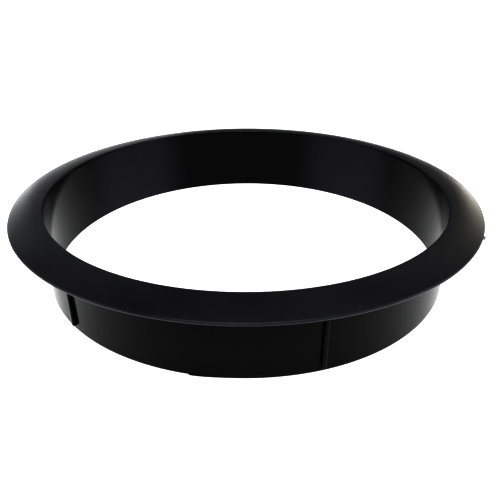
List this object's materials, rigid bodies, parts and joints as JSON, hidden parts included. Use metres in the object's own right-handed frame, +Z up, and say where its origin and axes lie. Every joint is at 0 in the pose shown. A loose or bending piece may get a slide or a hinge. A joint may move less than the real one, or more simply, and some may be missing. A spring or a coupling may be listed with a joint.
{
  "type": "toilet flange ring",
  "caption": "Round plastic flange ring: a low domed flange over a short open sleeve with outside ribs. It drops into a round cut-out, lines it and covers its edge.",
  "frame": {"origin": "centre of the sleeve's foot face, which the ring stands on; the seat plane is at z = 0.0266", "axes": "+Z up along the ring's axis, from the foot to the crest; -Y is the front, the side that the visible pair of ribs is on; +X to the right"},
  "size_m": [0.178, 0.178, 0.0296],
  "materials": {
    "flange_plastic": "black moulded plastic, fine satin grain",
    "lip_plastic": "black moulded plastic, satin on top and glossy on the bore's side",
    "sleeve_plastic": "black moulded plastic, smooth, glossy on the inner wall"
  },
  "bodies": {
    "root": {"flange_crown": "flange_plastic", "flange_edge": "flange_plastic", "inner_lip": "lip_plastic", "sleeve": "sleeve_plastic", "rib_front_left": "sleeve_plastic", "rib_front_right": "sleeve_plastic", "rib_rear_right": "sleeve_plastic", "rib_rear_left": "sleeve_plastic", "gate_stub": "flange_plastic"}
  },
  "joints": []
}
